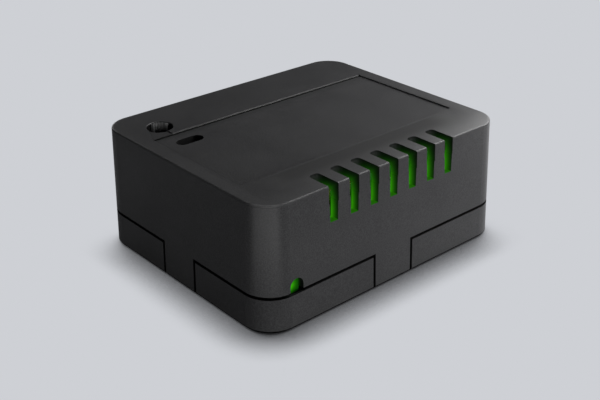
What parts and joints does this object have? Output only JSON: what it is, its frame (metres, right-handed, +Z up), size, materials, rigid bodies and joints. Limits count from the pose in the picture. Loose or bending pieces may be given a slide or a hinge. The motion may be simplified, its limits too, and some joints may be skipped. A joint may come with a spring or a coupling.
{
  "type": "roller shutter module",
  "caption": "Flush-mounted roller shutter module: slotted two-part case, push-in wire terminals, motor relays, radio board and service button.",
  "frame": {"origin": "centre of the case's foot, at the level it rests on", "axes": "+X along the slotted long side, -Y out of the slotted side, +Y out of the terminal side, +Z up through the label face"},
  "size_m": [0.046, 0.0386, 0.0184],
  "materials": {
    "case_plastic": "fine spark-grain charcoal moulding",
    "tray_plastic": "fine spark-grain charcoal moulding",
    "plunger_plastic": "smooth dark moulding",
    "circuit_board": "green solder mask over glass laminate",
    "tinned_steel": "tinned sheet, satin",
    "black_resin": "moulded resin, satin",
    "gold_plate": "thin gold plating, bright",
    "lamp_lens": "clear green tinted epoxy, lit",
    "capacitor_sleeve": "shrunk dark blue sleeve",
    "film_case": "yellow moulded case",
    "varistor_coat": "blue dipped coat",
    "fuse_case": "brown moulded case",
    "ferrite": "ground dark grey ferrite",
    "winding_tape": "amber polyester tape over the winding",
    "relay_cap": "blue moulded cap, satin",
    "tinned_copper": "stamped copper alloy, satin",
    "copper_wire": "enamelled copper winding",
    "relay_iron": "zinc plated soft iron",
    "terminal_plastic": "slate grey moulding",
    "spring_steel": "stainless strip, bright",
    "button_plastic": "orange moulding"
  },
  "bodies": {
    "tray": {"base_tray": "tray_plastic", "main_board": "circuit_board", "radio_board": "circuit_board", "radio_shield": "tinned_steel", "control_chip": "black_resin", "clock_crystal": "tinned_steel", "header_strip": "black_resin", "header_pins": "gold_plate", "status_lamp": "lamp_lens", "switch_body": "black_resin", "switch_lid": "tinned_steel", "sensor_socket": "black_resin", "sensor_pins": "gold_plate", "bulk_capacitor": "capacitor_sleeve", "film_capacitor": "film_case", "varistor": "varistor_coat", "line_fuse": "fuse_case", "bridge_rectifier": "black_resin", "transformer_core": "ferrite", "transformer_coil": "winding_tape", "up_relay_foot": "black_resin", "up_relay_cap": "relay_cap", "up_relay_pins": "tinned_copper", "up_relay_coil": "copper_wire", "up_relay_yoke": "relay_iron", "down_relay_foot": "black_resin", "down_relay_cap": "relay_cap", "down_relay_pins": "tinned_copper", "down_relay_coil": "copper_wire", "down_relay_yoke": "relay_iron", "terminal_1": "terminal_plastic", "terminal_2": "terminal_plastic", "terminal_3": "terminal_plastic", "terminal_4": "terminal_plastic", "terminal_5": "terminal_plastic", "terminal_6": "terminal_plastic", "contact_bar_1": "tinned_copper", "contact_bar_2": "tinned_copper", "contact_bar_3": "tinned_copper", "contact_bar_4": "tinned_copper", "contact_bar_5": "tinned_copper", "contact_bar_6": "tinned_copper"},
    "cover": {"top_cover": "case_plastic"},
    "service_plunger": {"switch_plunger": "plunger_plastic"},
    "up_armature": {"up_relay_armature": "relay_iron"},
    "down_armature": {"down_relay_armature": "relay_iron"},
    "button_1": {"release_button_1": "button_plastic"},
    "clamp_1": {"clamp_spring_1": "spring_steel"},
    "button_2": {"release_button_2": "button_plastic"},
    "clamp_2": {"clamp_spring_2": "spring_steel"},
    "button_3": {"release_button_3": "button_plastic"},
    "clamp_3": {"clamp_spring_3": "spring_steel"},
    "button_4": {"release_button_4": "button_plastic"},
    "clamp_4": {"clamp_spring_4": "spring_steel"},
    "button_5": {"release_button_5": "button_plastic"},
    "clamp_5": {"clamp_spring_5": "spring_steel"},
    "button_6": {"release_button_6": "button_plastic"},
    "clamp_6": {"clamp_spring_6": "spring_steel"}
  },
  "joints": [
    {"name": "cover_lift", "type": "slide", "parent": "tray", "child": "cover", "axis": [0, 0, 1], "range_m": [0, 0.03]},
    {"name": "service_press", "type": "slide", "parent": "tray", "child": "service_plunger", "axis": [0, 0, -1], "range_m": [0, 0.0003], "stiffness_N_per_m": 3000, "springref_m": -0.0002},
    {"name": "up_armature_pull", "type": "hinge", "parent": "tray", "child": "up_armature", "pos_m": [0.00904, -0.00105, 0.0109], "axis": [-1, 0, 0], "range_deg": [0, 4.2], "stiffness_Nm_per_rad": 0.004, "springref_deg": -2.86},
    {"name": "down_armature_pull", "type": "hinge", "parent": "tray", "child": "down_armature", "pos_m": [0.01564, -0.00105, 0.0109], "axis": [-1, 0, 0], "range_deg": [0, 4.2], "stiffness_Nm_per_rad": 0.004, "springref_deg": -2.86},
    {"name": "release_1", "type": "slide", "parent": "tray", "child": "button_1", "axis": [0, -1, 0], "range_m": [0, 0.001], "stiffness_N_per_m": 3000, "springref_m": -0.0003},
    {"name": "clamp_open_1", "type": "hinge", "parent": "tray", "child": "clamp_1", "pos_m": [-0.00766, 0.01278, 0.01375], "axis": [-1, 0, 0], "range_deg": [0, 17.2]},
    {"name": "release_2", "type": "slide", "parent": "tray", "child": "button_2", "axis": [0, -1, 0], "range_m": [0, 0.001], "stiffness_N_per_m": 3000, "springref_m": -0.0003},
    {"name": "clamp_open_2", "type": "hinge", "parent": "tray", "child": "clamp_2", "pos_m": [-0.00266, 0.01278, 0.01375], "axis": [-1, 0, 0], "range_deg": [0, 17.2]},
    {"name": "release_3", "type": "slide", "parent": "tray", "child": "button_3", "axis": [0, -1, 0], "range_m": [0, 0.001], "stiffness_N_per_m": 3000, "springref_m": -0.0003},
    {"name": "clamp_open_3", "type": "hinge", "parent": "tray", "child": "clamp_3", "pos_m": [0.00234, 0.01278, 0.01375], "axis": [-1, 0, 0], "range_deg": [0, 17.2]},
    {"name": "release_4", "type": "slide", "parent": "tray", "child": "button_4", "axis": [0, -1, 0], "range_m": [0, 0.001], "stiffness_N_per_m": 3000, "springref_m": -0.0003},
    {"name": "clamp_open_4", "type": "hinge", "parent": "tray", "child": "clamp_4", "pos_m": [0.00734, 0.01278, 0.01375], "axis": [-1, 0, 0], "range_deg": [0, 17.2]},
    {"name": "release_5", "type": "slide", "parent": "tray", "child": "button_5", "axis": [0, -1, 0], "range_m": [0, 0.001], "stiffness_N_per_m": 3000, "springref_m": -0.0003},
    {"name": "clamp_open_5", "type": "hinge", "parent": "tray", "child": "clamp_5", "pos_m": [0.01234, 0.01278, 0.01375], "axis": [-1, 0, 0], "range_deg": [0, 17.2]},
    {"name": "release_6", "type": "slide", "parent": "tray", "child": "button_6", "axis": [0, -1, 0], "range_m": [0, 0.001], "stiffness_N_per_m": 3000, "springref_m": -0.0003},
    {"name": "clamp_open_6", "type": "hinge", "parent": "tray", "child": "clamp_6", "pos_m": [0.01734, 0.01278, 0.01375], "axis": [-1, 0, 0], "range_deg": [0, 17.2]}
  ],
  "couplings": [
    {"joint": "clamp_open_1", "follows": "release_1", "rad_per_m": 296.7},
    {"joint": "clamp_open_2", "follows": "release_2", "rad_per_m": 296.7},
    {"joint": "clamp_open_3", "follows": "release_3", "rad_per_m": 296.7},
    {"joint": "clamp_open_4", "follows": "release_4", "rad_per_m": 296.7},
    {"joint": "clamp_open_5", "follows": "release_5", "rad_per_m": 296.7},
    {"joint": "clamp_open_6", "follows": "release_6", "rad_per_m": 296.7}
  ]
}
